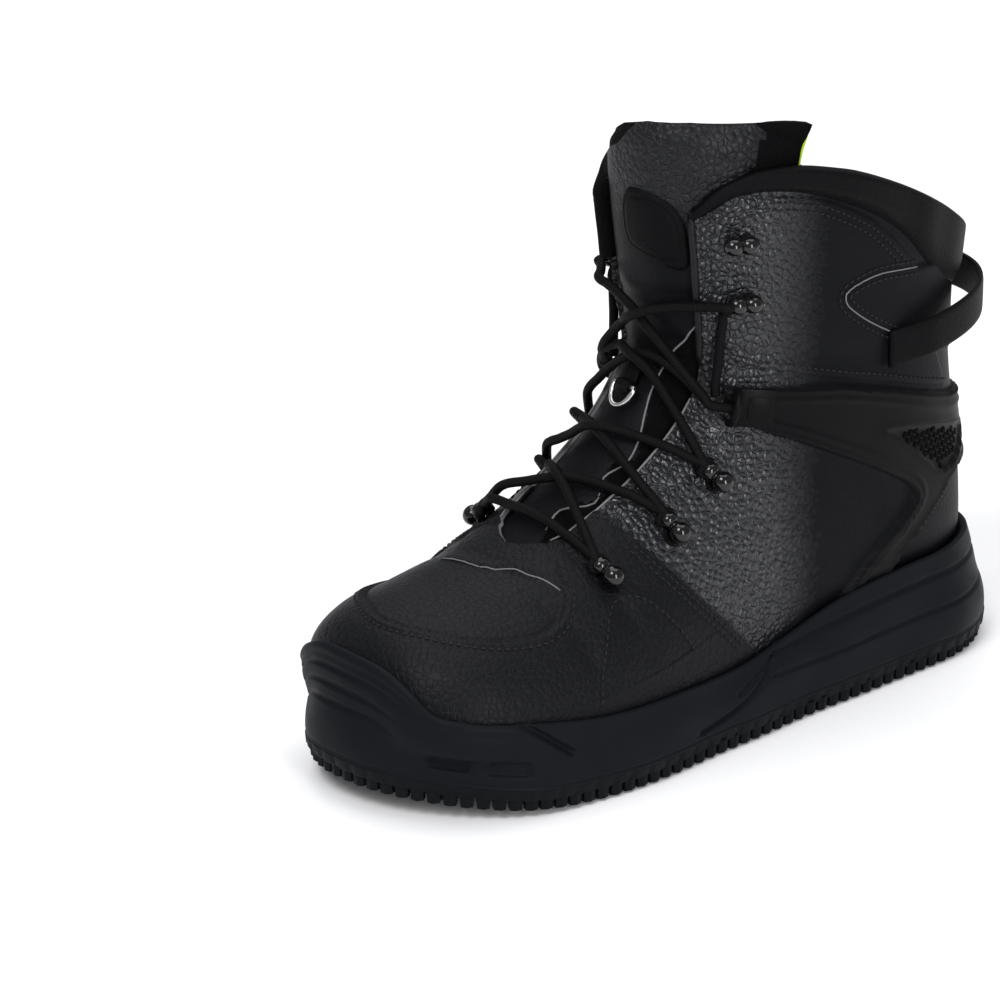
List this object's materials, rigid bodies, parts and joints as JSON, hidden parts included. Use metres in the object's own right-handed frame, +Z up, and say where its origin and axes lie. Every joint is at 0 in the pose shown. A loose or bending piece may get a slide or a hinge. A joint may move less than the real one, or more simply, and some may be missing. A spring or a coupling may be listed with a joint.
{
  "type": "fishing boot",
  "caption": "Black lace-up wading boot for the left foot: padded collar, tongue, hooks and laces, moulded heel frame, rubber toe bumper and lugged sole.",
  "frame": {"origin": "on the floor, at the middle of the boot's length and width", "axes": "+X towards the toe, +Y towards the outer (lateral) side, +Z up"},
  "size_m": [0.318, 0.12, 0.2445],
  "materials": {
    "rubber": "matt moulded rubber",
    "foam": "satin moulded foam and rubber",
    "leather": "pebbled, semi-gloss",
    "smooth_leather": "smooth, satin",
    "moulded": "moulded, satin",
    "fabric": "matt textile",
    "black_metal": "gloss black",
    "steel": "bright",
    "lace": "ribbed round cord"
  },
  "bodies": {
    "boot": {"collar_pad": "smooth_leather", "drain_eyelet_1": "steel", "drain_eyelet_2": "steel", "heel_frame": "moulded", "insole": "fabric", "lace": "lace", "lace_hook_lateral_1": "black_metal", "lace_hook_lateral_2": "black_metal", "lace_hook_lateral_3": "black_metal", "lace_hook_medial_1": "black_metal", "lace_hook_medial_2": "black_metal", "lace_hook_medial_3": "black_metal", "lace_loop_lateral": "moulded", "lace_loop_medial": "moulded", "midsole": "foam", "mudguard": "smooth_leather", "outsole": "rubber", "pull_loop": "smooth_leather", "ring_tab": "smooth_leather", "speed_hook_lateral_1": "black_metal", "speed_hook_lateral_2": "black_metal", "speed_hook_medial_1": "black_metal", "speed_hook_medial_2": "black_metal", "tongue": "leather", "tongue_badge": "fabric", "upper": "leather"},
    "ring": {"ring": "black_metal"}
  },
  "joints": [
    {"name": "ring_hinge", "type": "hinge", "parent": "boot", "child": "ring", "pos_m": [0.02002, -0.00188, 0.13559], "axis": [0, -1, 0], "range_deg": [0, 70]}
  ]
}
